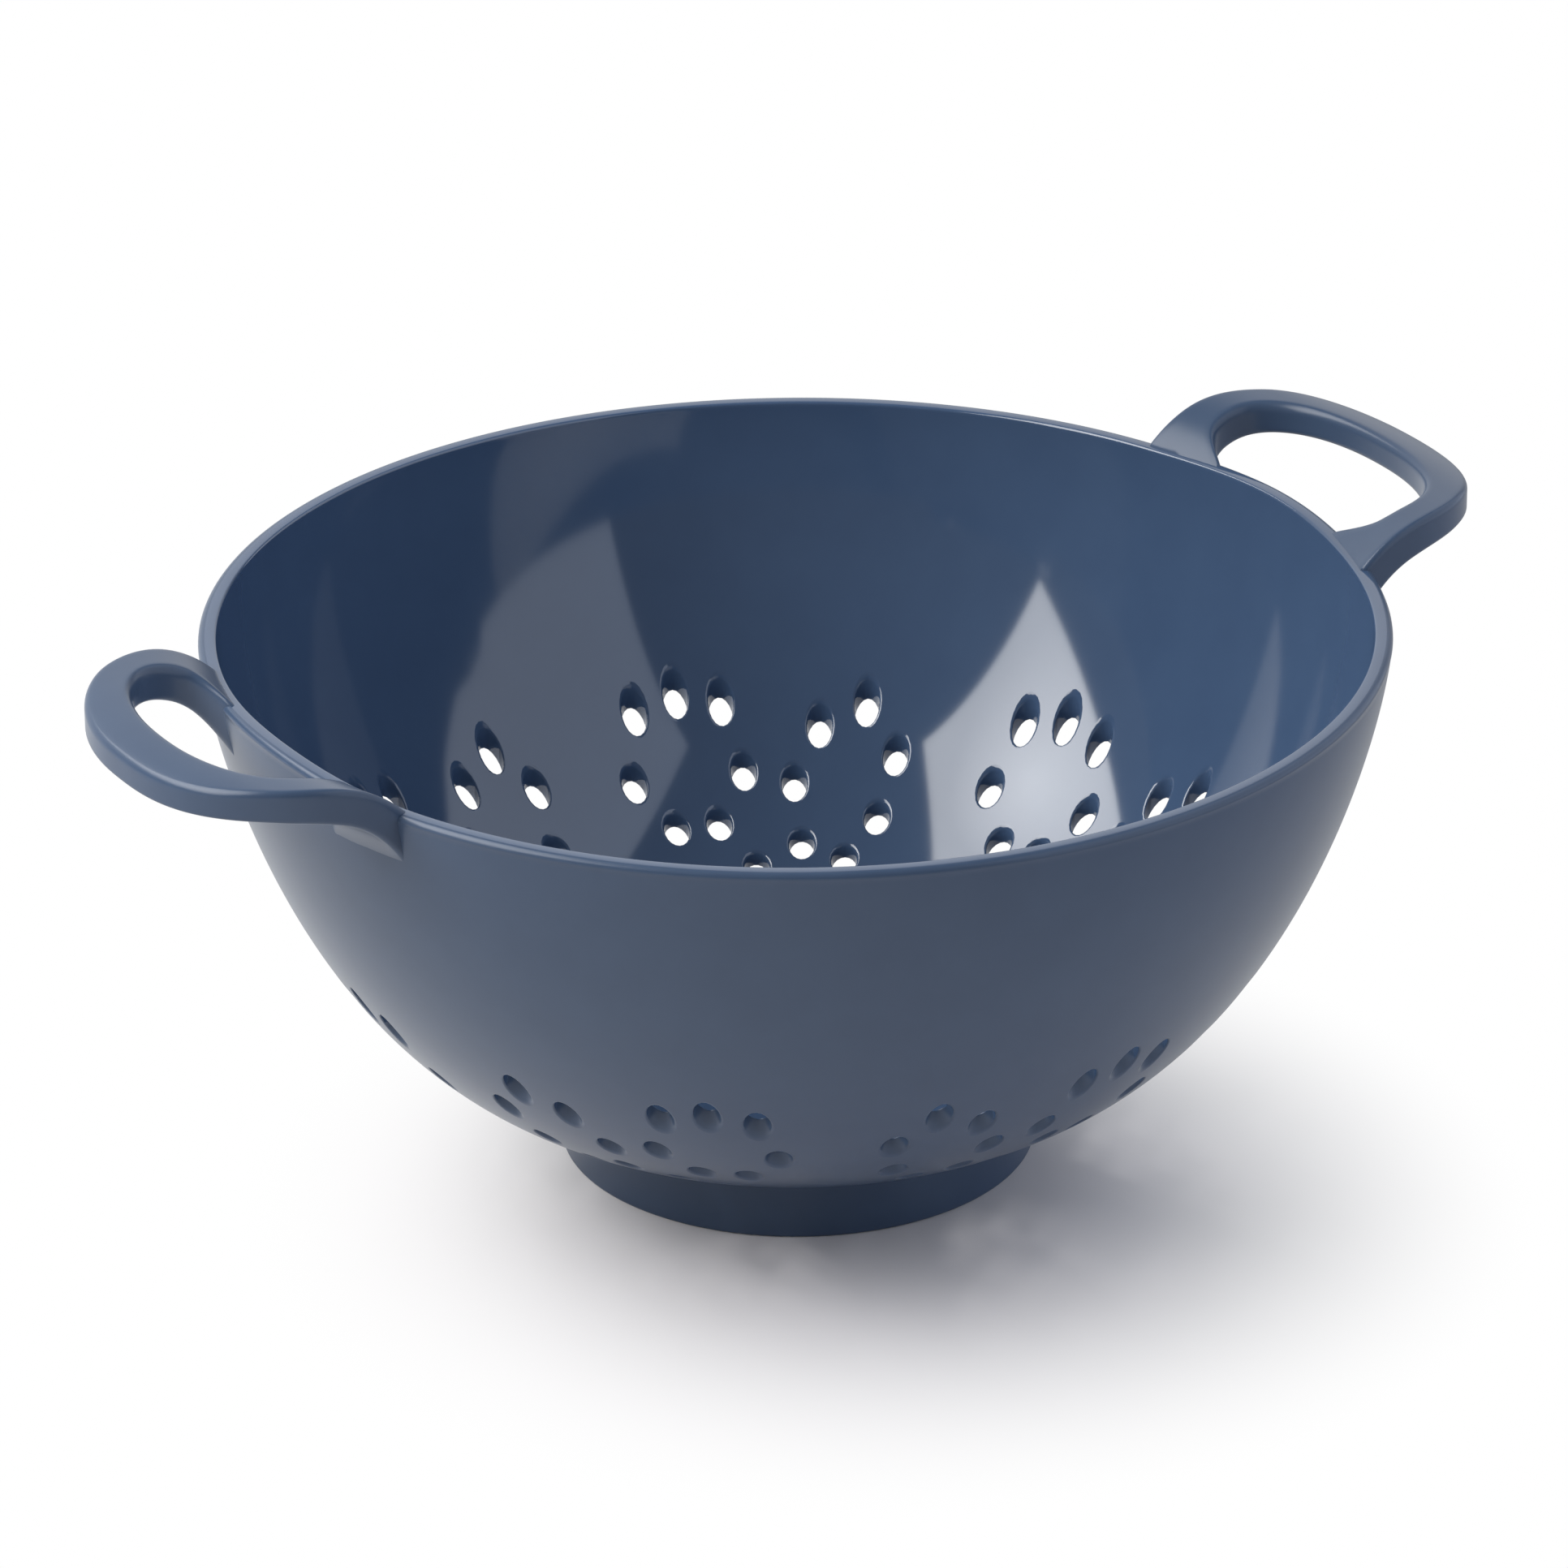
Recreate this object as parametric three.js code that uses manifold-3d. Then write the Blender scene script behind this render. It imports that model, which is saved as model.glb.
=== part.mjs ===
// Melamine colander: a deep perforated bowl on a low foot ring, with two
// upswept loop handles growing out of the rim. Millimetres, +Z up. The origin
// is on the table at the centre of the foot ring, and the handles lie along X.

import * as THREE from 'three';
import { mergeGeometries, mergeVertices } from 'three/addons/utils/BufferGeometryUtils.js';
import Module from 'manifold-3d';

// Bowl: the outside is a curve of revolution that leaves the base flat and
// reaches the rim upright. The wall thickens towards the rim, which swells up a
// little behind each handle.
const RIM_RADIUS = 120;
const RIM_HEIGHT = 114.6;
const BASE_HEIGHT = 10.4;
const BASE_FLATNESS = 3.41;
const SIDE_FULLNESS = 1.39;
const WALL = 2.75;
const RIM_WALL = 3.7;
const RIM_THICKENING = 3;
const RIM_OUTER_ROUND = 1.3;
const RIM_INNER_ROUND = 0.6;
const RIM_SWELL = 1;
const RIM_SWELL_DEPTH = 20;
const BOWL_STEPS = 11;
const FACETS = 60;

// Perforations: straight holes in the mould's draw direction, seven to a ring.
// Half of one ring is given as offsets outward and across; the other half is
// its mirror image. The rings come in three rows, each repeated evenly round
// the bowl at its own reach from the axis, with its bearing and turn in degrees
// and the size of its rings.
const HOLE_DIAMETER = 5.4;
const HOLE_SIDES = 8;
const RING_TOP_HOLE = { outward: 8.9, across: 0 };
const RING_SIDE_HOLES = [
  { outward: 7.1, across: 9.6 },
  { outward: -2.2, across: 12.1 },
  { outward: -9.4, across: 4.7 },
];
const RINGS_PER_ROW = 7;
const UPPER_RINGS = { reach: 88.9, bearing: 22.9, turn: 0, size: 1 };
const MIDDLE_RINGS = { reach: 84.5, bearing: 0.8, turn: -119, size: 1 };
const LOWER_RINGS = { reach: 60.8, bearing: 14.4, turn: -53.5, size: 0.87 };
const BASE_RING = { reach: 0, bearing: 0, turn: 0, size: 1 };

// Foot ring: a band that widens a little towards the table
const FOOT_RADIUS = 48.8;
const FOOT_TOP_RADIUS = 47;
const FOOT_WALL = 4;
const FOOT_ROUND = 0.8;

// Handles: flat loops that sweep up from the rim to a crest and droop towards
// the grip, growing thinner outward. Their outline and their finger hole are
// superellipses seen from above. The sweep starts a little inside the rim's
// outer edge, and the underside drops down the wall in a hollow curve.
const HANDLE_REACH = 32;
const HANDLE_HALF_WIDTH = 40;
const HANDLE_SQUARENESS = 2.33;
const HANDLE_RISE = 8.9;
const HANDLE_CREST = 21;
const HANDLE_SWEEP = 2.8;
const HANDLE_DROOP = 2.3;
const HANDLE_EDGE = 1.2;
const HANDLE_EDGE_STEPS = 2;
const GRIP_WIDTH = 9.8;
const GRIP_THICKNESS = 5.6;
const ARM_WIDTH = 9.5;
const FINGER_HOLE_CENTRE = 6.2;
const FINGER_HOLE_SQUARENESS = 2.2;
const FINGER_HOLE_CORNER = 5.5;
const ROOT_DEPTH = 2.5;
const ROOT_THICKNESS = 8.6;
const ROOT_DROP = 4.6;
const ROOT_RUN = 9.5;
const OUTLINE_STEPS = 30;
const ROOT_STEPS = 5;

// Gap between neighbouring solids, and the distance within which the corners
// of one solid's triangles count as the same point
const CLEARANCE = 0.3;
const SAME_POINT = 1e-4;

const MELAMINE = { color: 0x4a607f, roughness: 0.3, metalness: 0 };

const UP = new THREE.Vector3(0, 0, 1);
const QUARTER_TURN = Math.PI / 2;

const wasm = await Module();
wasm.setup();

// A closed geometry as a solid, without the collapsed triangles that a turned
// profile leaves on its axis
function toSolid(geometry) {
  const bare = geometry.clone();
  bare.deleteAttribute('normal');
  bare.deleteAttribute('uv');
  const merged = mergeVertices(bare, SAME_POINT);
  const corners = merged.index.array;
  const triangles = [];
  for (let i = 0; i < corners.length; i += 3) {
    const [a, b, c] = corners.slice(i, i + 3);
    if (a !== b && b !== c && c !== a) triangles.push(a, b, c);
  }
  const vertProperties = new Float32Array(merged.attributes.position.array);
  const triVerts = new Uint32Array(triangles);
  return new wasm.Manifold(new wasm.Mesh({ numProp: 3, vertProperties, triVerts }));
}

function toMesh(name, solid) {
  const { vertProperties, triVerts } = solid.getMesh();
  const geometry = new THREE.BufferGeometry();
  geometry.setAttribute('position', new THREE.BufferAttribute(vertProperties, 3));
  geometry.setIndex(new THREE.BufferAttribute(triVerts, 1));
  geometry.computeVertexNormals();
  const mesh = new THREE.Mesh(geometry, new THREE.MeshStandardMaterial(MELAMINE));
  mesh.name = name;
  return mesh;
}

// A profile of (radius, height) points turned round the upright axis
function revolve(profile) {
  const points = profile.map(([radius, height]) => new THREE.Vector2(radius, height));
  return toSolid(new THREE.LatheGeometry(points, FACETS).rotateX(QUARTER_TURN));
}

// Height of the bowl's outside at a radius
function bowlHeight(radius) {
  const reach = (radius / RIM_RADIUS) ** BASE_FLATNESS;
  const climb = 1 - (1 - reach) ** (1 / SIDE_FULLNESS);
  return BASE_HEIGHT + climb * (RIM_HEIGHT - BASE_HEIGHT);
}

// Angle of the bowl's outside at a radius: level at the centre, upright at the rim
function bowlSlope(radius) {
  const share = radius / RIM_RADIUS;
  const gain = (RIM_HEIGHT - BASE_HEIGHT) / RIM_RADIUS * BASE_FLATNESS / SIDE_FULLNESS;
  const steepening = (1 - share ** BASE_FLATNESS) ** (1 / SIDE_FULLNESS - 1);
  return Math.atan(gain * share ** (BASE_FLATNESS - 1) * steepening);
}

// Thickness of the wall at a share of the climb from base to rim
function wallAt(climb) {
  return WALL + (RIM_WALL - WALL) * climb ** RIM_THICKENING;
}

// The bowl's outside from its centre to the rim, moved outward square to itself
// by an offset that may change with the climb
function bowlSide(offsetAt) {
  const side = [];
  for (let i = 0; i <= BOWL_STEPS; i++) {
    const radius = RIM_RADIUS * Math.sin(QUARTER_TURN * i / BOWL_STEPS);
    const slope = bowlSlope(radius);
    const height = bowlHeight(radius);
    const offset = offsetAt((height - BASE_HEIGHT) / (RIM_HEIGHT - BASE_HEIGHT));
    side.push([radius + offset * Math.sin(slope), height - offset * Math.cos(slope)]);
  }
  return side;
}

// Everything within the bowl's outside, grown by the clearance
function bowlEnvelope() {
  const side = bowlSide(() => CLEARANCE);
  const [edge] = side.pop();
  const above = RIM_HEIGHT + 2 * HANDLE_RISE;
  return revolve([...side, [edge, RIM_HEIGHT], [edge, above], [0, above]]);
}

// Plan positions of the holes of one ring
function ringHoles({ reach, bearing, turn, size }) {
  const mirrored = RING_SIDE_HOLES.map(({ outward, across }) => ({ outward, across: -across }));
  return [RING_TOP_HOLE, ...RING_SIDE_HOLES, ...mirrored].map(({ outward, across }) => {
    const hole = new THREE.Vector3(outward, across, 0).multiplyScalar(size);
    hole.applyAxisAngle(UP, THREE.MathUtils.degToRad(turn));
    hole.x += reach;
    return hole.applyAxisAngle(UP, THREE.MathUtils.degToRad(bearing));
  });
}

// Every hole of the bowl: three rows of rings and one ring in the base
function bowlHoles() {
  const holes = ringHoles(BASE_RING);
  for (const row of [UPPER_RINGS, MIDDLE_RINGS, LOWER_RINGS]) {
    for (let i = 0; i < RINGS_PER_ROW; i++) {
      holes.push(...ringHoles({ ...row, bearing: row.bearing + 360 * i / RINGS_PER_ROW }));
    }
  }
  return holes;
}

function makeBowl() {
  const outside = bowlSide(() => 0).slice(0, -1);
  const inside = bowlSide((climb) => -wallAt(climb)).slice(0, -1).reverse();
  const rim = [
    [RIM_RADIUS, RIM_HEIGHT - RIM_OUTER_ROUND],
    [RIM_RADIUS - RIM_OUTER_ROUND, RIM_HEIGHT],
    [RIM_RADIUS - RIM_WALL + RIM_INNER_ROUND, RIM_HEIGHT],
    [RIM_RADIUS - RIM_WALL, RIM_HEIGHT - RIM_INNER_ROUND],
  ];
  const shell = revolve([...outside, ...rim, ...inside]).warp((point) => {
    const middle = 1 - THREE.MathUtils.clamp(Math.abs(point[1]) / HANDLE_HALF_WIDTH, 0, 1) ** 2;
    const share = THREE.MathUtils.smoothstep(point[2], RIM_HEIGHT - RIM_SWELL_DEPTH, RIM_HEIGHT);
    point[2] += RIM_SWELL * share * middle ** 2;
  });
  const drills = bowlHoles().map(({ x, y }) => {
    const drill = new THREE.CylinderGeometry(HOLE_DIAMETER / 2, HOLE_DIAMETER / 2, RIM_HEIGHT, HOLE_SIDES);
    return drill.rotateX(QUARTER_TURN).translate(x, y, RIM_HEIGHT / 2);
  });
  return toMesh('bowl', shell.subtract(toSolid(mergeGeometries(drills))));
}

// The foot ring's top follows the underside of the bowl, a clearance below it.
function makeFootRing() {
  const innerRadius = FOOT_RADIUS - FOOT_WALL;
  const top = bowlHeight(FOOT_TOP_RADIUS);
  const ring = revolve([
    [innerRadius + FOOT_ROUND, 0],
    [FOOT_RADIUS - FOOT_ROUND, 0],
    [FOOT_RADIUS, FOOT_ROUND],
    [FOOT_TOP_RADIUS, top],
    [FOOT_TOP_RADIUS - FOOT_WALL, top],
    [innerRadius, FOOT_ROUND],
    [innerRadius + FOOT_ROUND, 0],
  ]);
  return toMesh('foot_ring', ring.subtract(bowlEnvelope()));
}

// Points of a superellipse from one angle to another
function superellipse(length, width, squareness, from, to) {
  const points = [];
  const square = (value) => Math.sign(value) * Math.abs(value) ** (2 / squareness);
  for (let i = 0; i <= OUTLINE_STEPS; i++) {
    const angle = THREE.MathUtils.lerp(from, to, i / OUTLINE_STEPS);
    points.push(new THREE.Vector2(length * square(Math.cos(angle)), width * square(Math.sin(angle))));
  }
  return points;
}

// How far a point lies outside the rim
function outwardOf(x, y) {
  return Math.hypot(x, y) - RIM_RADIUS;
}

// A handle's flat outline with its finger hole, whose corners are rounded off
// at the wall. The roots run on inside the rim.
function handleShape() {
  const holeLength = HANDLE_REACH - GRIP_WIDTH - FINGER_HOLE_CENTRE;
  const holeWidth = HANDLE_HALF_WIDTH - ARM_WIDTH;
  const rootLength = holeLength - FINGER_HOLE_CENTRE + ARM_WIDTH;
  const root = [];
  for (let i = 1; i <= ROOT_STEPS; i++) {
    root.push(new THREE.Vector2(-rootLength * i / ROOT_STEPS, HANDLE_HALF_WIDTH));
  }
  const otherRoot = root.map(({ x, y }) => new THREE.Vector2(x, -y)).reverse();
  const grip = superellipse(HANDLE_REACH, HANDLE_HALF_WIDTH, HANDLE_SQUARENESS, -QUARTER_TURN, QUARTER_TURN);
  const hole = superellipse(holeLength, holeWidth, FINGER_HOLE_SQUARENESS, 0, 4 * QUARTER_TURN).slice(1);
  for (const point of hole) {
    point.x += FINGER_HOLE_CENTRE;
    const outward = outwardOf(RIM_RADIUS + point.x, point.y);
    const corner = 1 - THREE.MathUtils.clamp(outward / FINGER_HOLE_CORNER, 0, 1);
    point.y -= Math.sign(point.y) * FINGER_HOLE_CORNER * corner ** 2;
  }
  const shape = new THREE.Shape([...otherRoot, ...grip, ...root]);
  shape.holes.push(new THREE.Path(hole));
  return shape;
}

// Height of a handle's top at a distance outside the rim
function handleTop(outward) {
  const share = THREE.MathUtils.clamp((outward + ROOT_DEPTH) / (HANDLE_CREST + ROOT_DEPTH), 0, 1);
  const beyond = Math.max(0, (outward - HANDLE_CREST) / (HANDLE_REACH - HANDLE_CREST));
  return RIM_HEIGHT + HANDLE_RISE * (1 - (1 - share) ** HANDLE_SWEEP) - HANDLE_DROOP * beyond ** 2;
}

// Height of a handle's underside at a distance outside the rim
function handleUnderside(outward) {
  const share = THREE.MathUtils.clamp(outward / HANDLE_REACH, 0, 1);
  const hollow = 1 - THREE.MathUtils.clamp((outward + ROOT_DEPTH) / (ROOT_RUN + ROOT_DEPTH), 0, 1);
  const drop = ROOT_DROP * (1 - Math.sqrt(1 - hollow ** 2));
  return handleTop(outward) - THREE.MathUtils.lerp(ROOT_THICKNESS, GRIP_THICKNESS, share) - drop;
}

// One loop: the flat outline is given its thickness, then its top and its
// underside follow the sweep up from the rim, and the wall trims its roots.
function makeHandle(name, bearing) {
  const loop = new THREE.ExtrudeGeometry(handleShape(), {
    depth: ROOT_THICKNESS - 2 * HANDLE_EDGE,
    bevelThickness: HANDLE_EDGE,
    bevelSize: HANDLE_EDGE,
    bevelOffset: -HANDLE_EDGE,
    bevelSegments: HANDLE_EDGE_STEPS,
  });
  loop.translate(RIM_RADIUS, 0, HANDLE_EDGE);
  const point = loop.attributes.position;
  for (let i = 0; i < point.count; i++) {
    const outward = outwardOf(point.getX(i), point.getY(i));
    const share = point.getZ(i) / ROOT_THICKNESS;
    point.setZ(i, THREE.MathUtils.lerp(handleUnderside(outward), handleTop(outward), share));
  }
  loop.rotateZ(bearing);
  return toMesh(name, toSolid(loop).subtract(bowlEnvelope()));
}

const colander = new THREE.Group();
colander.name = 'colander';
colander.add(
  makeBowl(),
  makeFootRing(),
  makeHandle('handle_right', 0),
  makeHandle('handle_left', Math.PI),
);

export default colander;
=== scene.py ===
"""Looks of the melamine colander: one thick moulding in slate blue, with a deep
perforated bowl, a foot ring and two upswept loop handles. Metres, +Z up."""

import math

import bpy
import numpy as np
from mathutils import Matrix, Vector


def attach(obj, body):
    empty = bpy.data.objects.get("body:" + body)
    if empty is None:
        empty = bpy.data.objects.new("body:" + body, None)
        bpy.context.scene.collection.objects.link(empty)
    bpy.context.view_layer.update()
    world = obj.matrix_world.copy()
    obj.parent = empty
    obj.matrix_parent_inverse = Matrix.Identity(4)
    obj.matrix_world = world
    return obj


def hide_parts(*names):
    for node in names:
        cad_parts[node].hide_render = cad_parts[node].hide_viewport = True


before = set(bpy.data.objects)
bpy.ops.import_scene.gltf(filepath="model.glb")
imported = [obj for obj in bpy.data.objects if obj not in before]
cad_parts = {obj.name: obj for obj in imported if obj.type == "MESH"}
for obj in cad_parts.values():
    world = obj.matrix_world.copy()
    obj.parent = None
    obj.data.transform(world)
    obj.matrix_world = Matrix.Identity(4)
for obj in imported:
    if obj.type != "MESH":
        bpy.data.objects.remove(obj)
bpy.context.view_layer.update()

MM = 0.001
FULL_TURN = 2 * math.pi

# Steps in a rounded edge, by its size
LARGE_ROUND_STEPS = 6
SMALL_ROUND_STEPS = 4

# Bowl: the outside leaves the base flat and reaches the rim upright. The wall
# thickens towards the rim, which swells up a little behind each handle.
RIM_RADIUS = 120 * MM
RIM_HEIGHT = 114.6 * MM
BASE_HEIGHT = 10.4 * MM
BASE_FLATNESS = 3.41
SIDE_FULLNESS = 1.39
WALL = 2.75 * MM
RIM_WALL = 3.7 * MM
RIM_THICKENING = 3
RIM_OUTER_ROUND = 1.3 * MM
RIM_INNER_ROUND = 0.6 * MM
RIM_SWELL = 1 * MM
RIM_SWELL_DEPTH = 20 * MM
BOWL_STEPS = 80
BOWL_SEGMENTS = 320
WELD_DISTANCE = 1e-6

# How far the foot runs into the wall, and the space of a hole past it
OVERLAP = WALL / 3

# Perforations: seven straight holes to a ring, as places outward and across in
# mm, and seven rings to a row. Each row has its reach from the axis, its bearing,
# and the turn and size of its rings. HOLE_SPLIT keeps the two ends of a hole's
# space apart until they are set on the wall.
HOLE_RADIUS = 2.7 * MM
HOLE_SIDES = 20
HOLE_SPLIT = 10 * MM
INNER_LIP = 0.7 * MM
OUTER_LIP = 0.6 * MM
LIP_ANGLES = (0, 30, 55, 75)
LIP_RUN_ON = 0.3
RING_HOLES = [
    (8.9, 0), (7.1, 9.6), (7.1, -9.6), (-2.2, 12.1), (-2.2, -12.1), (-9.4, 4.7), (-9.4, -4.7)]
RINGS_PER_ROW = 7
ROW_SIZES = ("Reach", "Bearing", "Turn", "Size")
RING_ROWS = {
    "Upper": (88.9 * MM, math.radians(22.9), 0.0, 1.0),
    "Middle": (84.5 * MM, math.radians(0.8), math.radians(-119), 1.0),
    "Lower": (60.8 * MM, math.radians(14.4), math.radians(-53.5), 0.87),
}

# Searches on the bowl: rays that start clear of it, the distance past which a
# point is off the wall, and a point over its mouth that only the inside faces
RAY_START = 1.0
OFF_WALL = 2e-6
OVER_MOUTH = (0, 0, 1.1 * RIM_HEIGHT)

# Foot ring: a band that widens towards the table and runs into the bowl
FOOT_RADIUS = 48.8 * MM
FOOT_TOP_RADIUS = 47 * MM
FOOT_WALL = 4 * MM
FOOT_ROUND = 0.8 * MM
FOOT_FILLET = 0.7 * MM
FOOT_FILLET_SWEEP = 75
FOOT_SEGMENTS = 192

# Handles: flat loops that sweep up from the rim to a crest, droop towards the
# grip and grow thinner outward. LOOP_SHARE of the way along is the loop itself,
# and the rest is its roots.
HANDLE_REACH = 32 * MM
HANDLE_HALF_WIDTH = 40 * MM
HANDLE_SQUARENESS = 2.33
HANDLE_RISE = 8.9 * MM
HANDLE_CREST = 21 * MM
HANDLE_SWEEP = 2.8
HANDLE_DROOP = 2.3 * MM
GRIP_WIDTH = 9.8 * MM
GRIP_THICKNESS = 5.6 * MM
ARM_WIDTH = 9.5 * MM
FINGER_HOLE_CENTRE = 6.2 * MM
FINGER_HOLE_SQUARENESS = 2.2
FINGER_HOLE_CORNER = 5.5 * MM
FINGER_HOLE_RUN_ON = math.radians(48)
ROOT_LENGTH = 14 * MM
ROOT_DEPTH = 2.5 * MM
ROOT_THICKNESS = 8.6 * MM
ROOT_DROP = 4.6 * MM
ROOT_RUN = 9.5 * MM
OUTER_TOP_EDGE = 1.2 * MM
OUTER_LOW_EDGE = 0.8 * MM
INNER_TOP_EDGE = 1.7 * MM
INNER_LOW_EDGE = 1.0 * MM
LOOP_SHARE = 0.76
HANDLE_STEPS = 160
HANDLE_SIDE_STEPS = 8

# Finishes: deep and pale colour, index of refraction, roughness. The inside is
# polished and mirrors the lamps; the outside has a satin sheen. The outside's
# colours are painted shade: a little darker and greyer than the inside's, though
# the moulding is one colour throughout.
POLISHED = ("#3b4e6a", "#425672", 1.68, 0.075)
SATIN_SHADED = ("#3b4b63", "#42536b", 1.42, 0.28)
PIGMENT_CLOUDS = {"Scale": 1 / (14 * MM), "Detail": 4.0, "Roughness": 0.6}
SKIN_WAVES = {"Scale": 1 / (18 * MM), "Detail": 1.0}
SKIN_WAVE_HEIGHT = 0.004 * MM

# Studio: the camera looks along +Y of a frame that is turned from the part's.
STUDIO_TURN = math.radians(-31)
CAMERA_DISTANCE = 1.7
CAMERA_ELEVATION = 0.4114
CAMERA_AIM = (-0.0194, -0.0016, -0.0063)
LENS_MM = 194.0
SENSOR_MM = 36.0

# Room: a white wall in one direction, with the range over which it begins and
# the range of height over which it ends
ROOM_LEVEL = 0.12
WALL_LEVEL = 0.95
WALL_DIRECTION = (-0.3, 0.95, 0)
WALL_BEGINS = (0.5, 0.9)
WALL_ENDS = (0.6, 0.85)

# Floor: the paper's colour where it shows the shadow, the distances over which
# that gives way to white, and how far its mirror image falls off to the right
FLOOR_HALF = 30
PAPER = (0.8, 0.765, 0.765, 1)
SHADOW_CENTRE = (0.017, -0.031)
SHADOW_FADE = (0.032, 0.134)
MIRRORED_FLOOR = 0.55
MIRRORED_FADE = (-0.05, 0.25)

# Lamps: the place, the facing and the edge, which is the direction of the width,
# are in the studio's frame, and the radiance is that of the face. The key lamp is
# brightest at one spot, at a share of its width and height, and fades evenly to
# a lower level at a distance from there.
HOT_SPOT_REACH = 0.45
HOT_SPOT_LEVELS = (1.32, 0.82)
LAMPS = {
    "key_softbox": {
        "place": (-0.63, -0.12, 0.83), "facing": (0.96, -0.13, -0.25), "edge": (0.19, 0.96, 0.23),
        "width": 1.16, "height": 0.85, "radiance": 6.1, "colour": "#ffffff",
        "hot_spot": (0.44, 0.68)},
    "fill_board": {
        "place": (0.94, -0.01, 0.81), "facing": (-1, 0, -0.15), "edge": (0, 1, 0),
        "width": 2.44, "height": 1.64, "radiance": 1.16, "colour": "#e6efff"},
}


def linear(colour):
    """A hex colour in sRGB as linear RGBA."""
    parts = [int(colour[i:i + 2], 16) / 255 for i in (1, 3, 5)]
    return (*(p / 12.92 if p <= 0.04045 else ((p + 0.055) / 1.055) ** 2.4 for p in parts), 1.0)


def in_studio(direction):
    """A place or direction of the studio's frame, in the part's frame."""
    return Matrix.Rotation(STUDIO_TURN, 3, "Z") @ Vector(direction)


# Nodes

def add(tree, kind, inputs=None, **settings):
    """Adds a node with its settings, and gives its inputs values or links."""
    node = tree.nodes.new(kind)
    for name, value in settings.items():
        setattr(node, name, value)
    for name, value in (inputs or {}).items():
        for one in value if isinstance(value, list) else [value]:
            if isinstance(one, bpy.types.NodeSocket):
                tree.links.new(one, node.inputs[name])
            else:
                node.inputs[name].default_value = one
    return node


def add_math(tree, operation, *values, **settings):
    """Adds a calculation with numbers, and returns its result."""
    inputs = dict(enumerate(values))
    return add(tree, "ShaderNodeMath", inputs, operation=operation, **settings).outputs[0]


def add_vector_math(tree, operation, *values, result="Value"):
    """Adds a calculation with vectors, and returns its result: a number or a vector."""
    inputs = dict(enumerate(values))
    return add(tree, "ShaderNodeVectorMath", inputs, operation=operation).outputs[result]


def add_vector(tree, x=0.0, y=0.0, z=0.0):
    """Adds a vector that is put together from its parts, and returns it."""
    return add(tree, "ShaderNodeCombineXYZ", {"X": x, "Y": y, "Z": z}).outputs[0]


def add_range(tree, value, start, end, low=0.0, high=1.0, shape="SMOOTHSTEP"):
    """Adds a change from low to high while a value goes from start to end."""
    return add(tree, "ShaderNodeMapRange", {
        "Value": value, "From Min": start, "From Max": end, "To Min": low, "To Max": high},
        interpolation_type=shape).outputs[0]


def new_group(name, inputs, output):
    """An empty node group with named inputs and one geometry output."""
    group = bpy.data.node_groups.new(name, "GeometryNodeTree")
    for title, kind in inputs.items():
        group.interface.new_socket(title, in_out="INPUT", socket_type=f"NodeSocket{kind}")
    group.interface.new_socket(output, in_out="OUTPUT", socket_type="NodeSocketGeometry")
    return group


def empty_tree(owner):
    """The node tree of a material, lamp or world, with nothing in it."""
    owner.use_nodes = True
    owner.node_tree.nodes.clear()
    return owner.node_tree


# Objects

def link(name, data):
    """An object of the scene that holds a mesh, lamp or camera."""
    made = bpy.data.objects.new(name, data)
    bpy.context.scene.collection.objects.link(made)
    return made


def new_object(name, points, edges=(), faces=()):
    mesh = bpy.data.meshes.new(name)
    mesh.from_pydata([tuple(p) for p in points], edges, faces)
    return link(name, mesh)


def profile_object(name, profile):
    """A line of (radius, height) points in the XZ plane, to be turned round Z."""
    points = [(radius, 0, height) for radius, height in profile]
    return new_object(name, points, [(i, i + 1) for i in range(len(points) - 1)])


def grow(piece, tree, values):
    """Runs a node tree on a piece and keeps the result as its plain mesh."""
    modifier = piece.modifiers.new(tree.name, "NODES")
    modifier.node_group = tree
    for item in tree.interface.items_tree:
        if item.in_out == "INPUT" and item.name in values:
            modifier[item.identifier] = values[item.name]
    evaluated = piece.evaluated_get(bpy.context.evaluated_depsgraph_get())
    mesh = bpy.data.meshes.new_from_object(evaluated)
    piece.modifiers.remove(modifier)
    piece.data = mesh


def arc(centre, radius, start, end, steps):
    """Points of a circular arc between two angles in degrees."""
    angles = np.radians(np.linspace(start, end, steps + 1))
    return [(centre[0] + radius * np.cos(a), centre[1] + radius * np.sin(a)) for a in angles]


# Shapes of revolution

def bowl_height(radius):
    climb = 1 - (1 - (radius / RIM_RADIUS) ** BASE_FLATNESS) ** (1 / SIDE_FULLNESS)
    return BASE_HEIGHT + climb * (RIM_HEIGHT - BASE_HEIGHT)


def bowl_slope(radius):
    share = radius / RIM_RADIUS
    gain = (RIM_HEIGHT - BASE_HEIGHT) / RIM_RADIUS * BASE_FLATNESS / SIDE_FULLNESS
    steepening = (1 - share ** BASE_FLATNESS) ** (1 / SIDE_FULLNESS - 1)
    return math.atan(gain * share ** (BASE_FLATNESS - 1) * steepening)


def wall_at(climb):
    """Thickness of the wall at a share of the climb from base to rim."""
    return WALL + (RIM_WALL - WALL) * climb ** RIM_THICKENING


def bowl_side(offset_at, top):
    """The bowl's outside up to a height, moved outward square to itself by an
    offset that may change with the climb."""
    side = []
    for i in range(BOWL_STEPS):
        radius = RIM_RADIUS * math.sin(math.pi / 2 * i / BOWL_STEPS)
        slope = bowl_slope(radius)
        height = bowl_height(radius)
        offset = offset_at((height - BASE_HEIGHT) / (RIM_HEIGHT - BASE_HEIGHT))
        side.append((radius + offset * math.sin(slope), height - offset * math.cos(slope)))
    return [point for point in side if point[1] < top]


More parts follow.
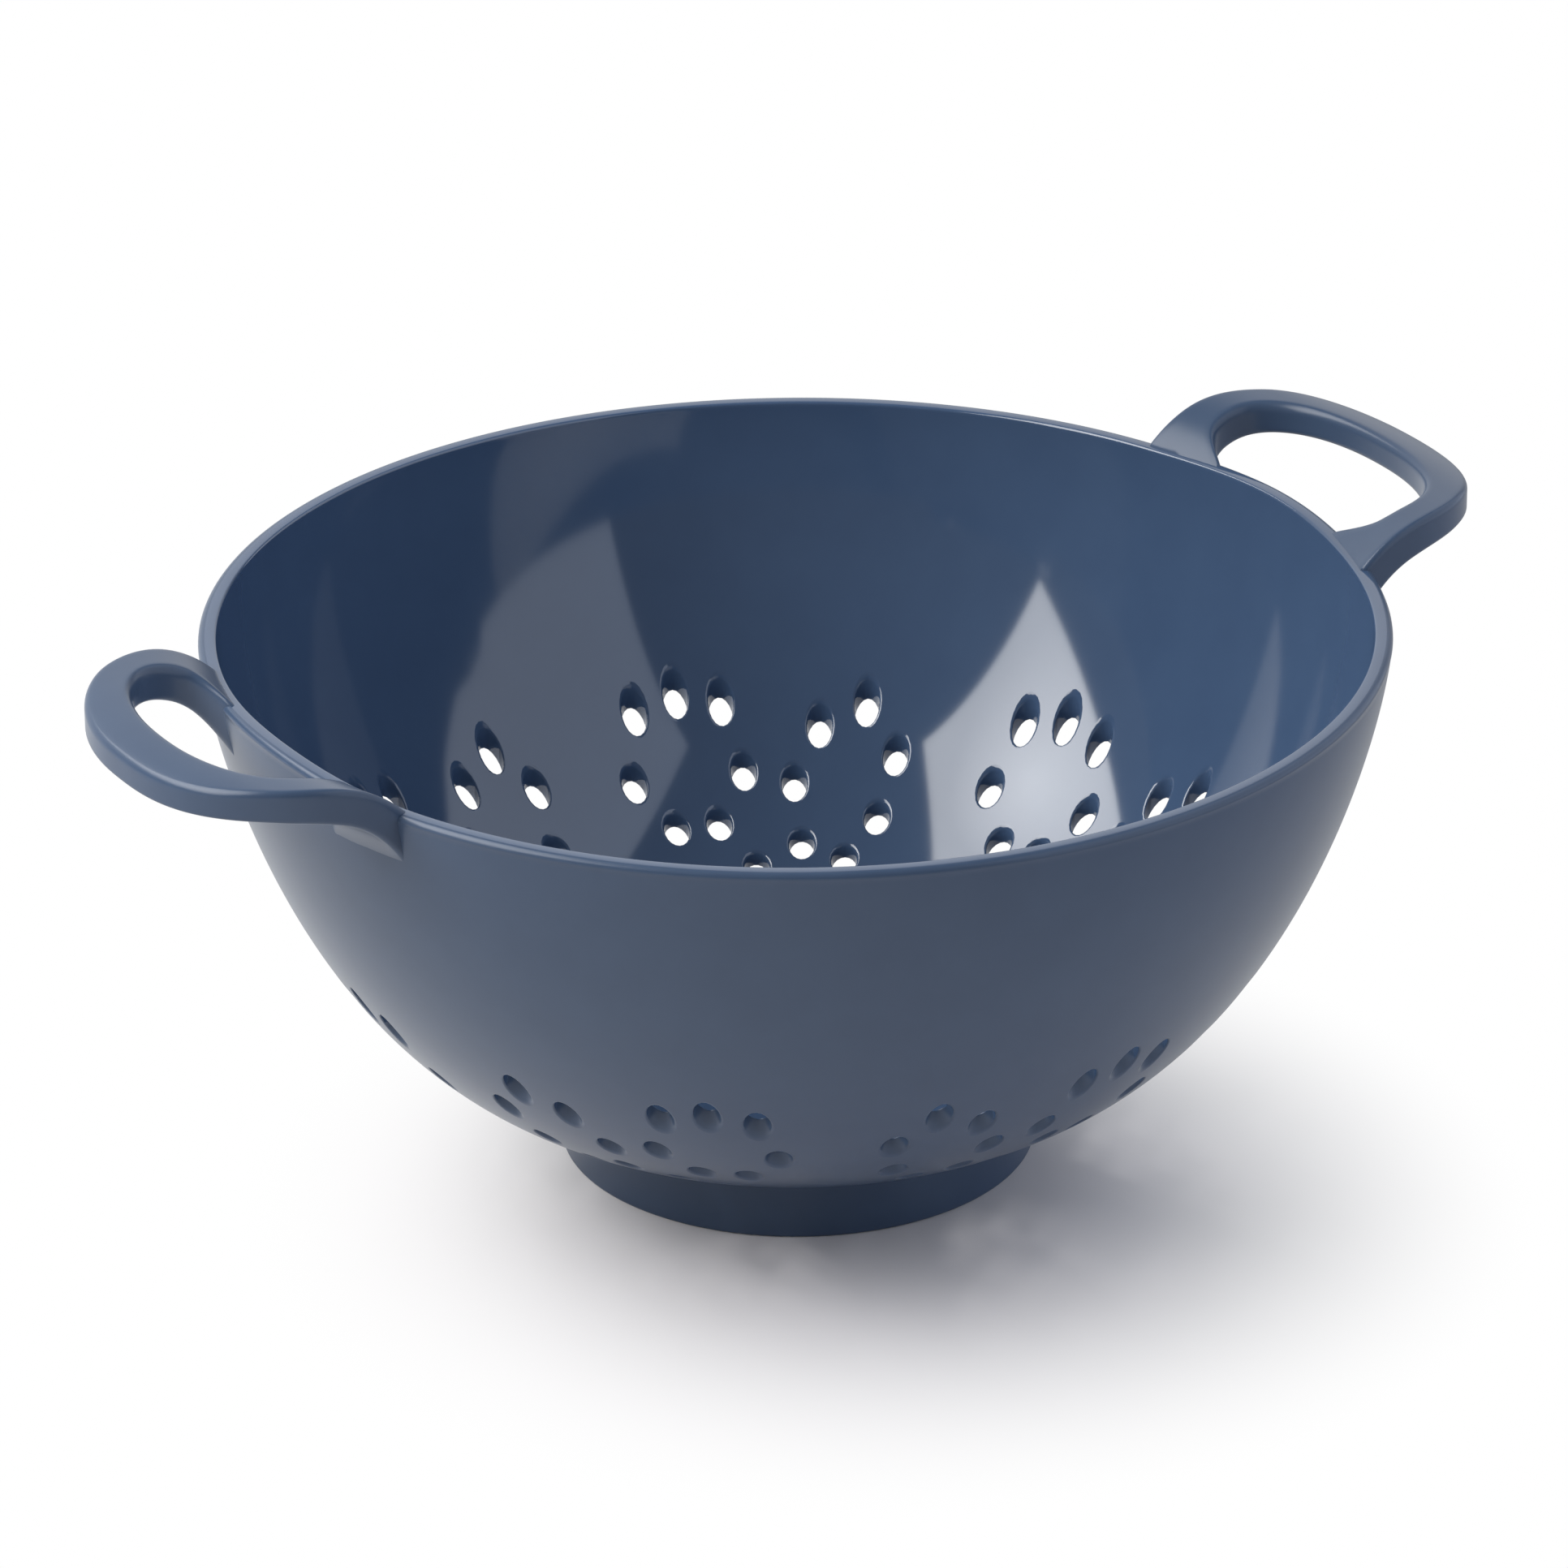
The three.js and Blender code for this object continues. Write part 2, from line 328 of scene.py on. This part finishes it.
def bowl_profile():
    """Once round the wall: up the outside, over the rim and down the inside."""
    outer = (RIM_RADIUS - RIM_OUTER_ROUND, RIM_HEIGHT - RIM_OUTER_ROUND)
    inner = (RIM_RADIUS - RIM_WALL + RIM_INNER_ROUND, RIM_HEIGHT - RIM_INNER_ROUND)
    return [
        *bowl_side(lambda climb: 0, outer[1]),
        *arc(outer, RIM_OUTER_ROUND, 0, 90, LARGE_ROUND_STEPS),
        *arc(inner, RIM_INNER_ROUND, 90, 180, SMALL_ROUND_STEPS),
        *bowl_side(lambda climb: -wall_at(climb), inner[1])[::-1],
    ]


def foot_profile():
    """Once round the band, whose top ends inside the bowl's wall."""
    inner = FOOT_RADIUS - FOOT_WALL
    top = bowl_height(FOOT_TOP_RADIUS)
    fillet_out = FOOT_TOP_RADIUS + FOOT_FILLET
    fillet_in = FOOT_TOP_RADIUS - FOOT_WALL - FOOT_FILLET

    def edge(radius, height, size, start, end):
        return arc((radius, height), size, start, end, SMALL_ROUND_STEPS)

    return [
        *edge(inner + FOOT_ROUND, FOOT_ROUND, FOOT_ROUND, 180, 270),
        *edge(FOOT_RADIUS - FOOT_ROUND, FOOT_ROUND, FOOT_ROUND, -90, 0),
        *edge(fillet_out, top - FOOT_FILLET, FOOT_FILLET, 180, 180 - FOOT_FILLET_SWEEP),
        (fillet_out, top + OVERLAP),
        (fillet_in, top + OVERLAP),
        *edge(fillet_in, top - 2 * FOOT_FILLET, FOOT_FILLET, FOOT_FILLET_SWEEP, 0),
        (inner, FOOT_ROUND),
    ]


def hole_profile():
    """The space of one hole: a straight bore that flares into a rounded lip at
    the inner surface, for which height HOLE_SPLIT stands, and at the outer one,
    for which minus HOLE_SPLIT stands. The flare runs on a little past each."""
    last_slope = math.tan(math.radians(90 - LIP_ANGLES[-1]))
    above = HOLE_SPLIT + OVERLAP

    def lip(size):
        flare = [(HOLE_RADIUS + size * (1 - math.cos(a)), HOLE_SPLIT - size * (1 - math.sin(a)))
                 for a in np.radians(LIP_ANGLES)]
        out, up = flare[-1]
        end = (out + LIP_RUN_ON * size, up + LIP_RUN_ON * size * last_slope)
        return flare + [end, (end[0], above), (0, above)]

    low = [(radius, -height) for radius, height in lip(OUTER_LIP)]
    return low[::-1] + lip(INNER_LIP)


def turned_group():
    """Turns a profile round the Z axis into a closed smooth piece."""
    tree = new_group("turned", {"Profile": "Geometry", "Segments": "Int"}, "Piece")
    given = add(tree, "NodeGroupInput").outputs
    profile, segments = given["Profile"], given["Segments"]
    counts = add(tree, "GeometryNodeAttributeDomainSize", {"Geometry": profile}).outputs
    rows = counts["Point Count"]
    columns = add_math(tree, "ADD", segments, 1.0)
    grid = add(tree, "GeometryNodeMeshGrid", {"Vertices X": columns, "Vertices Y": rows}).outputs[0]
    index = add(tree, "GeometryNodeInputIndex").outputs[0]
    in_rows = {0: index, 1: rows}
    row = add(tree, "FunctionNodeIntegerMath", in_rows, operation="MODULO").outputs[0]
    column = add(tree, "FunctionNodeIntegerMath", in_rows, operation="DIVIDE").outputs[0]
    share = add_math(tree, "DIVIDE", column, segments)
    angle = add_math(tree, "MULTIPLY", share, FULL_TURN)
    place = add(tree, "GeometryNodeInputPosition").outputs[0]
    point = add(tree, "GeometryNodeSampleIndex", {
        "Geometry": profile, "Value": place, "Index": row}, data_type="FLOAT_VECTOR").outputs[0]
    turned = add(tree, "ShaderNodeVectorRotate", {"Vector": point, "Angle": angle},
                 rotation_type="Z_AXIS").outputs[0]
    moved = add(tree, "GeometryNodeSetPosition", {"Geometry": grid, "Position": turned}).outputs[0]
    closed = add(tree, "GeometryNodeMergeByDistance", {
        "Geometry": moved, "Distance": WELD_DISTANCE}).outputs[0]
    smooth = add(tree, "GeometryNodeSetShadeSmooth", {0: closed}).outputs[0]
    add(tree, "NodeGroupOutput", {"Piece": smooth})
    return tree


def ring_row_group():
    """Repeats a ring of holes evenly round the axis, at its reach and bearing."""
    sizes = {size: "Float" for size in ROW_SIZES}
    tree = new_group("ring_row", {"Ring": "Geometry", "Rings": "Int", **sizes}, "Row")
    given = add(tree, "NodeGroupInput").outputs
    ring = add(tree, "GeometryNodeTransform", {
        "Geometry": given["Ring"], "Translation": add_vector(tree, x=given["Reach"]),
        "Rotation": add_vector(tree, z=given["Turn"]),
        "Scale": add_vector(tree, given["Size"], given["Size"], 1.0)}).outputs[0]
    index = add(tree, "GeometryNodeInputIndex").outputs[0]
    share = add_math(tree, "DIVIDE", index, given["Rings"])
    angle = add_math(tree, "MULTIPLY_ADD", share, FULL_TURN, given["Bearing"])
    centres = add(tree, "GeometryNodePoints", {"Count": given["Rings"]}).outputs[0]
    row = add(tree, "GeometryNodeInstanceOnPoints", {
        "Points": centres, "Instance": ring, "Rotation": add_vector(tree, z=angle)}).outputs[0]
    add(tree, "NodeGroupOutput", {"Row": row})
    return tree


def bowl_tree(turned, ring_row):
    """The turned wall, less the space of every hole. The shading follows the
    smooth wall and bores, not the triangles between them."""
    rows = {f"{row} {size}": "Float" for row in RING_ROWS for size in ROW_SIZES}
    tree = new_group("perforated_bowl", {
        "Profile": "Geometry", "Segments": "Int",
        "Rim Swell": "Float", "Handle Half Width": "Float",
        "Ring": "Object", "Rings Per Row": "Int",
        "Hole Profile": "Object", "Hole Sides": "Int", **rows,
        "Inside Material": "Material", "Outside Material": "Material"}, "Bowl")
    given = add(tree, "NodeGroupInput").outputs
    round_wall = add(tree, "GeometryNodeGroup", {
        "Profile": given["Profile"], "Segments": given["Segments"]}, node_tree=turned).outputs[0]
    place = add(tree, "GeometryNodeInputPosition").outputs[0]
    plan = add(tree, "ShaderNodeSeparateXYZ", {0: place}).outputs

    # The rim's swelling fades down the wall and away from the handle's middle.
    sideways = add_math(tree, "ABSOLUTE", plan["Y"])
    middle = add_range(tree, sideways, 0.0, given["Handle Half Width"], 1.0, 0.0)
    depth = add_math(tree, "SUBTRACT", RIM_HEIGHT, plan["Z"])
    share = add_range(tree, depth, 0.0, RIM_SWELL_DEPTH, 1.0, 0.0)
    strength = add_math(tree, "MULTIPLY", middle, share)
    lift = add_math(tree, "MULTIPLY", strength, given["Rim Swell"])
    wall = add(tree, "GeometryNodeSetPosition", {
        "Geometry": round_wall, "Offset": add_vector(tree, z=lift)}).outputs[0]

    # Places of the holes in plan, the base ring among them
    ring = add(tree, "GeometryNodeObjectInfo", {"Object": given["Ring"]}).outputs["Geometry"]
    rings = [ring]
    for row in RING_ROWS:
        sizes = {size: given[f"{row} {size}"] for size in ROW_SIZES}
        rings.append(add(tree, "GeometryNodeGroup", {
            "Ring": ring, "Rings": given["Rings Per Row"], **sizes}, node_tree=ring_row).outputs[0])
    joined = add(tree, "GeometryNodeJoinGeometry", {0: rings}).outputs[0]
    places = add(tree, "GeometryNodeRealizeInstances", {0: joined}).outputs[0]
    line = add(tree, "GeometryNodeObjectInfo", {"Object": given["Hole Profile"]}).outputs
    hole = add(tree, "GeometryNodeGroup", {
        "Profile": line["Geometry"], "Segments": given["Hole Sides"]}, node_tree=turned).outputs[0]
    copies = add(tree, "GeometryNodeInstanceOnPoints", {
        "Points": places, "Instance": hole}).outputs[0]
    upright = add(tree, "GeometryNodeRealizeInstances", {0: copies}).outputs[0]

    # Each lip is set on the wall's surface straight above or below it.
    surfaces = []
    for side in (1.0, -1.0):
        hit = add(tree, "GeometryNodeRaycast", {
            "Target Geometry": wall, "Ray Length": 2 * RAY_START, "Ray Direction": (0, 0, -side),
            "Source Position": add_vector(tree, plan["X"], plan["Y"], side * RAY_START)}).outputs
        surfaces.append(add(tree, "ShaderNodeSeparateXYZ", {0: hit["Hit Position"]}).outputs["Z"])
    is_inner = add_math(tree, "GREATER_THAN", plan["Z"], 0.0)
    inner = add_math(tree, "SUBTRACT", surfaces[0], HOLE_SPLIT)
    outer = add_math(tree, "ADD", surfaces[1], HOLE_SPLIT)
    ground = add(tree, "ShaderNodeMix", {"Factor": is_inner, "A": outer, "B": inner},
                 data_type="FLOAT").outputs[0]
    height = add_math(tree, "ADD", ground, plan["Z"])
    holes = add(tree, "GeometryNodeSetPosition", {
        "Geometry": upright, "Position": add_vector(tree, plan["X"], plan["Y"], height)}).outputs[0]
    cut = add(tree, "GeometryNodeMeshBoolean", {"Mesh 1": wall, "Mesh 2": holes},
              operation="DIFFERENCE", solver="MANIFOLD").outputs["Mesh"]

    # Shading: the wall's own direction on the wall, the bore's in the holes
    facing = add(tree, "GeometryNodeInputNormal").outputs[0]
    on_wall, in_hole = (
        add(tree, "GeometryNodeSampleNearestSurface", {"Mesh": surface, "Value": facing},
            data_type="FLOAT_VECTOR").outputs[0] for surface in (wall, holes))
    inward = add(tree, "ShaderNodeVectorMath", {0: in_hole, "Scale": -1.0},
                 operation="SCALE").outputs[0]
    gap = add(tree, "GeometryNodeProximity", {"Target": wall}, target_element="FACES").outputs
    is_hole = add_math(tree, "GREATER_THAN", gap["Distance"], OFF_WALL)
    normal = add(tree, "ShaderNodeMix", {"Factor": is_hole, 4: on_wall, 5: inward},
                 data_type="VECTOR").outputs[1]
    shaded = add(tree, "GeometryNodeSetShadeSmooth", {0: cut}).outputs[0]
    directed = add(tree, "GeometryNodeSetMeshNormal", {"Mesh": shaded, "Custom Normal": normal},
                   mode="FREE", domain="POINT").outputs[0]
    real = add(tree, "GeometryNodeRealizeInstances", {0: directed}).outputs[0]

    # Faces that look away from a point over the middle of the mouth are outside.
    from_mouth = add_vector_math(tree, "SUBTRACT", place, OVER_MOUTH, result="Vector")
    away = add_vector_math(tree, "DOT_PRODUCT", facing, from_mouth)
    is_outside = add(tree, "FunctionNodeCompare", {0: away, 1: 0.0},
                     operation="GREATER_THAN").outputs[0]
    inside = add(tree, "GeometryNodeSetMaterial", {
        0: real, "Material": given["Inside Material"]}).outputs[0]
    finished = add(tree, "GeometryNodeSetMaterial", {
        0: inside, "Selection": is_outside, "Material": given["Outside Material"]}).outputs[0]
    add(tree, "NodeGroupOutput", {"Bowl": finished})
    return tree


def foot_tree(turned):
    """The turned band in one material."""
    tree = new_group("foot_band", {
        "Profile": "Geometry", "Segments": "Int", "Material": "Material"}, "Foot")
    given = add(tree, "NodeGroupInput").outputs
    band = add(tree, "GeometryNodeGroup", {
        "Profile": given["Profile"], "Segments": given["Segments"]}, node_tree=turned).outputs[0]
    real = add(tree, "GeometryNodeRealizeInstances", {0: band}).outputs[0]
    finished = add(tree, "GeometryNodeSetMaterial", {
        0: real, "Material": given["Material"]}).outputs[0]
    add(tree, "NodeGroupOutput", {"Foot": finished})
    return tree


# Handles

def superellipse(length, width, squareness, angle):
    """Plan points of a superellipse: distances outward and across."""
    def stretch(part):
        return np.sign(part) * np.abs(part) ** (2 / squareness)
    return length * stretch(np.cos(angle)), width * stretch(np.sin(angle))


def handle_edges(share):
    """Plan points of the loop's inner and outer edge for a share of the way from
    one root, -1, to the other, 1."""
    side = np.sign(share)
    angle = np.minimum(np.abs(share) / LOOP_SHARE, 1) * math.pi / 2
    root = np.maximum(np.abs(share) - LOOP_SHARE, 0) / (1 - LOOP_SHARE)
    out, across = superellipse(HANDLE_REACH, HANDLE_HALF_WIDTH, HANDLE_SQUARENESS, angle)
    outer = (RIM_RADIUS + out - ROOT_LENGTH * root, side * across)
    out, across = superellipse(
        HANDLE_REACH - GRIP_WIDTH - FINGER_HOLE_CENTRE, HANDLE_HALF_WIDTH - ARM_WIDTH,
        FINGER_HOLE_SQUARENESS, angle + FINGER_HOLE_RUN_ON * root)
    out += RIM_RADIUS + FINGER_HOLE_CENTRE
    from_rim = np.hypot(out, across) - RIM_RADIUS
    corner = 1 - np.clip(from_rim / FINGER_HOLE_CORNER, 0, 1)
    inner = (out, side * (across - FINGER_HOLE_CORNER * corner ** 2))
    return np.stack(inner, -1), np.stack(outer, -1)


def handle_top(outward):
    """Height of the loop's top at a distance outside the rim."""
    share = np.clip((outward + ROOT_DEPTH) / (HANDLE_CREST + ROOT_DEPTH), 0, 1)
    beyond = np.maximum(0, (outward - HANDLE_CREST) / (HANDLE_REACH - HANDLE_CREST))
    rise = HANDLE_RISE * (1 - (1 - share) ** HANDLE_SWEEP)
    return RIM_HEIGHT + rise - HANDLE_DROOP * beyond ** 2


def handle_underside(outward):
    """Height of the loop's underside, which drops down the wall in a hollow curve."""
    share = np.clip(outward / HANDLE_REACH, 0, 1)
    thickness = ROOT_THICKNESS - (ROOT_THICKNESS - GRIP_THICKNESS) * share
    hollow = 1 - np.clip((outward + ROOT_DEPTH) / (ROOT_RUN + ROOT_DEPTH), 0, 1)
    return handle_top(outward) - thickness - ROOT_DROP * (1 - np.sqrt(1 - hollow ** 2))


def handle_section(width):
    """Rounded section of the loop: distances from the inner edge and heights."""
    top = GRIP_THICKNESS
    corners = [
        ((INNER_LOW_EDGE, INNER_LOW_EDGE), INNER_LOW_EDGE, 180),
        ((width - OUTER_LOW_EDGE, OUTER_LOW_EDGE), OUTER_LOW_EDGE, 270),
        ((width - OUTER_TOP_EDGE, top - OUTER_TOP_EDGE), OUTER_TOP_EDGE, 0),
        ((INNER_TOP_EDGE, top - INNER_TOP_EDGE), INNER_TOP_EDGE, 90),
    ]
    arcs = [arc(centre, radius, start, start + 90, LARGE_ROUND_STEPS)
            for centre, radius, start in corners]
    section = []
    for one, following in zip(arcs, arcs[1:] + arcs[:1]):
        start, end = np.array(one[-1]), np.array(following[0])
        shares = np.arange(1, HANDLE_SIDE_STEPS) / HANDLE_SIDE_STEPS
        section += one + [tuple(start * (1 - k) + end * k) for k in shares]
    return np.array(section)


def handle_piece(name, bearing):
    """Sections along the loop, lifted to its sweep. Both roots end inside the wall."""
    points = []
    for near, far in zip(*handle_edges(np.linspace(-1, 1, HANDLE_STEPS + 1))):
        width = np.linalg.norm(far - near)
        section = handle_section(width)
        plan = near + section[:, :1] * (far - near) / width
        reach = np.linalg.norm(plan, axis=1)
        held = np.maximum(reach, RIM_RADIUS - ROOT_DEPTH)
        plan *= (held / reach)[:, None]
        top, underside = handle_top(held - RIM_RADIUS), handle_underside(held - RIM_RADIUS)
        lift = section[:, 1] / GRIP_THICKNESS
        points += list(np.column_stack([plan, underside * (1 - lift) + top * lift]))
    around = len(section)
    faces = []
    for here in range(0, HANDLE_STEPS * around, around):
        there = here + around
        for k in range(around):
            after = (k + 1) % around
            faces.append((here + k, here + after, there + after, there + k))
    faces += [tuple(range(around))[::-1], tuple(range(len(points) - around, len(points)))]
    points = np.array(points) @ np.array(Matrix.Rotation(bearing, 3, "Z")).T
    piece = new_object(name, points, faces=faces)
    piece.data.shade_smooth()
    return piece


# Finish

def melamine(name, deep, pale, ior, roughness):
    """Moulded melamine resin: an even pigment under a hard skin, so it shows a
    faintly clouded blue, and reflections with a slight waver."""
    material = bpy.data.materials.new(name)
    tree = empty_tree(material)
    where = add(tree, "ShaderNodeTexCoord").outputs["Object"]
    cloud = add(tree, "ShaderNodeTexNoise", {"Vector": where, **PIGMENT_CLOUDS}).outputs[0]
    colour = add(tree, "ShaderNodeMix", {"Factor": cloud, 6: linear(deep), 7: linear(pale)},
                 data_type="RGBA").outputs[2]
    wave = add(tree, "ShaderNodeTexNoise", {"Vector": where, **SKIN_WAVES}).outputs[0]
    bump = add(tree, "ShaderNodeBump", {
        "Height": wave, "Strength": 1.0, "Distance": SKIN_WAVE_HEIGHT}).outputs[0]
    shader = add(tree, "ShaderNodeBsdfPrincipled", {
        "Base Color": colour, "Roughness": roughness, "Normal": bump, "IOR": ior}).outputs[0]
    add(tree, "ShaderNodeOutputMaterial", {"Surface": shader})
    return material


# Studio

def studio_floor():
    """White paper sweep: near the part the eye sees it take light and shade, and
    farther off it glows to full white."""
    material = bpy.data.materials.new("white_sweep")
    tree = empty_tree(material)
    path = add(tree, "ShaderNodeLightPath").outputs
    seen = add_math(tree, "ADD", path["Is Camera Ray"], path["Is Glossy Ray"])
    seen = add_math(tree, "ADD", seen, path["Is Transmission Ray"], use_clamp=True)
    where = add(tree, "ShaderNodeTexCoord").outputs["Object"]
    distance = add_vector_math(tree, "DISTANCE", where, in_studio((*SHADOW_CENTRE, 0)))
    far_seen = add_math(tree, "MULTIPLY", add_range(tree, distance, *SHADOW_FADE), seen)

    # Reflections see it fall off on the side away from the key lamp.
    aside = add_vector_math(tree, "DOT_PRODUCT", where, in_studio((1, 0, 0)))
    mirrored = add_range(tree, aside, *MIRRORED_FADE, 1.0, MIRRORED_FLOOR, "LINEAR")
    level = add(tree, "ShaderNodeMix", {"Factor": path["Is Glossy Ray"], "A": 1.0, "B": mirrored},
                data_type="FLOAT").outputs[0]
    white = add(tree, "ShaderNodeEmission", {"Strength": level}).outputs[0]
    paper = add(tree, "ShaderNodeBsdfDiffuse", {"Color": PAPER}).outputs[0]
    both = add(tree, "ShaderNodeMixShader", {0: far_seen, 1: paper, 2: white}).outputs[0]
    add(tree, "ShaderNodeOutputMaterial", {"Surface": both})
    return material


def grade_face(lamp, hot_spot):
    """Makes a lamp's face brightest at one spot."""
    tree = empty_tree(lamp)
    face = add(tree, "ShaderNodeNewGeometry").outputs["Parametric"]
    size = Vector((lamp.size, lamp.size_y, 0))
    offset = add_vector_math(tree, "MULTIPLY_ADD", face, size, -size * Vector((*hot_spot, 0)),
                             result="Vector")
    distance = add_vector_math(tree, "LENGTH", offset)
    level = add_range(tree, distance, 0.0, HOT_SPOT_REACH, *HOT_SPOT_LEVELS, "LINEAR")
    glow = add(tree, "ShaderNodeEmission", {"Strength": level}).outputs[0]
    add(tree, "ShaderNodeOutputLight", {"Surface": glow})


def softbox(name, place, facing, edge, width, height, radiance, colour, hot_spot=None):
    """A lamp with a rectangular face, even or graded."""
    lamp = bpy.data.lights.new(name, "AREA")
    lamp.shape = "RECTANGLE"
    lamp.size = width
    lamp.size_y = height
    lamp.energy = radiance * math.pi * width * height
    lamp.color = linear(colour)[:3]
    if hot_spot:
        grade_face(lamp, hot_spot)
    back = -Vector(facing).normalized()
    up = back.cross(Vector(edge)).normalized()
    turn = Matrix((up.cross(back), up, back)).transposed().to_4x4()
    studio = Matrix.Rotation(STUDIO_TURN, 4, "Z")
    link(name, lamp).matrix_world = studio @ Matrix.Translation(place) @ turn


def studio_world():
    """A white wall behind the part, and a dim room elsewhere."""
    world = bpy.data.worlds.new("studio")
    bpy.context.scene.world = world
    tree = empty_tree(world)
    where = add(tree, "ShaderNodeTexCoord").outputs["Generated"]
    depth = add_vector_math(tree, "DOT_PRODUCT", where, in_studio(WALL_DIRECTION))
    up = add(tree, "ShaderNodeSeparateXYZ", {0: where}).outputs["Z"]
    wall = add_range(tree, depth, *WALL_BEGINS)
    low = add_range(tree, up, *WALL_ENDS, 1.0, 0.0)
    lit = add_math(tree, "MULTIPLY", wall, low)
    level = add_range(tree, lit, 0.0, 1.0, ROOM_LEVEL, WALL_LEVEL, "LINEAR")
    background = add(tree, "ShaderNodeBackground", {
        "Color": (1, 1, 1, 1), "Strength": level}).outputs[0]
    add(tree, "ShaderNodeOutputWorld", {"Surface": background})


def camera():
    """The photo's view: from the front, over the rim, with a long lens."""
    lens = bpy.data.cameras.new("camera")
    lens.sensor_width = SENSOR_MM
    lens.lens = LENS_MM
    pitch, yaw, roll = CAMERA_AIM
    place = Vector((0, -CAMERA_DISTANCE * math.cos(CAMERA_ELEVATION),
                    RIM_HEIGHT + CAMERA_DISTANCE * math.sin(CAMERA_ELEVATION)))
    aim = (Matrix.Rotation(-yaw, 4, "Z")
           @ Matrix.Rotation(math.pi / 2 - CAMERA_ELEVATION + pitch, 4, "X")
           @ Matrix.Rotation(roll, 4, "Z"))
    view = link("camera", lens)
    view.matrix_world = Matrix.Rotation(STUDIO_TURN, 4, "Z") @ Matrix.Translation(place) @ aim
    bpy.context.scene.camera = view


# The colander

polished = melamine("polished_melamine", *POLISHED)
# Outside, foot and handles: the satin finish, with painted shade in its colour
satin_shaded = melamine("satin_shaded_melamine", *SATIN_SHADED)
turned = turned_group()

bowl = profile_object("bowl_shell", bowl_profile())
ring = new_object("ring_places", [(out * MM, across * MM, 0) for out, across in RING_HOLES])
hole = profile_object("hole_space", hole_profile())
rows = {f"{row} {size}": value
        for row, values in RING_ROWS.items() for size, value in zip(ROW_SIZES, values)}
grow(bowl, bowl_tree(turned, ring_row_group()), {
    "Segments": BOWL_SEGMENTS, "Rim Swell": RIM_SWELL, "Handle Half Width": HANDLE_HALF_WIDTH,
    "Ring": ring, "Rings Per Row": RINGS_PER_ROW,
    "Hole Profile": hole, "Hole Sides": HOLE_SIDES, **rows,
    "Inside Material": polished, "Outside Material": satin_shaded})
bpy.data.objects.remove(ring)
bpy.data.objects.remove(hole)

foot = profile_object("foot_band", foot_profile())
grow(foot, foot_tree(turned), {"Segments": FOOT_SEGMENTS, "Material": satin_shaded})

pieces = {
    "bowl": bowl,
    "foot_ring": foot,
    "handle_right": handle_piece("right_loop", 0),
    "handle_left": handle_piece("left_loop", math.pi),
}
for node, piece in pieces.items():
    if not piece.data.materials:
        piece.data.materials.append(satin_shaded)
    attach(piece, "root")
    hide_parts(node)

square = [(-1, -1), (1, -1), (1, 1), (-1, 1)]
floor_corners = [(FLOOR_HALF * x, FLOOR_HALF * y, 0) for x, y in square]
floor = new_object("floor", floor_corners, faces=[(0, 1, 2, 3)])
floor.data.materials.append(studio_floor())

for name, settings in LAMPS.items():
    softbox(name, **settings)
studio_world()
camera()
bpy.context.scene.view_settings.view_transform = "Standard"
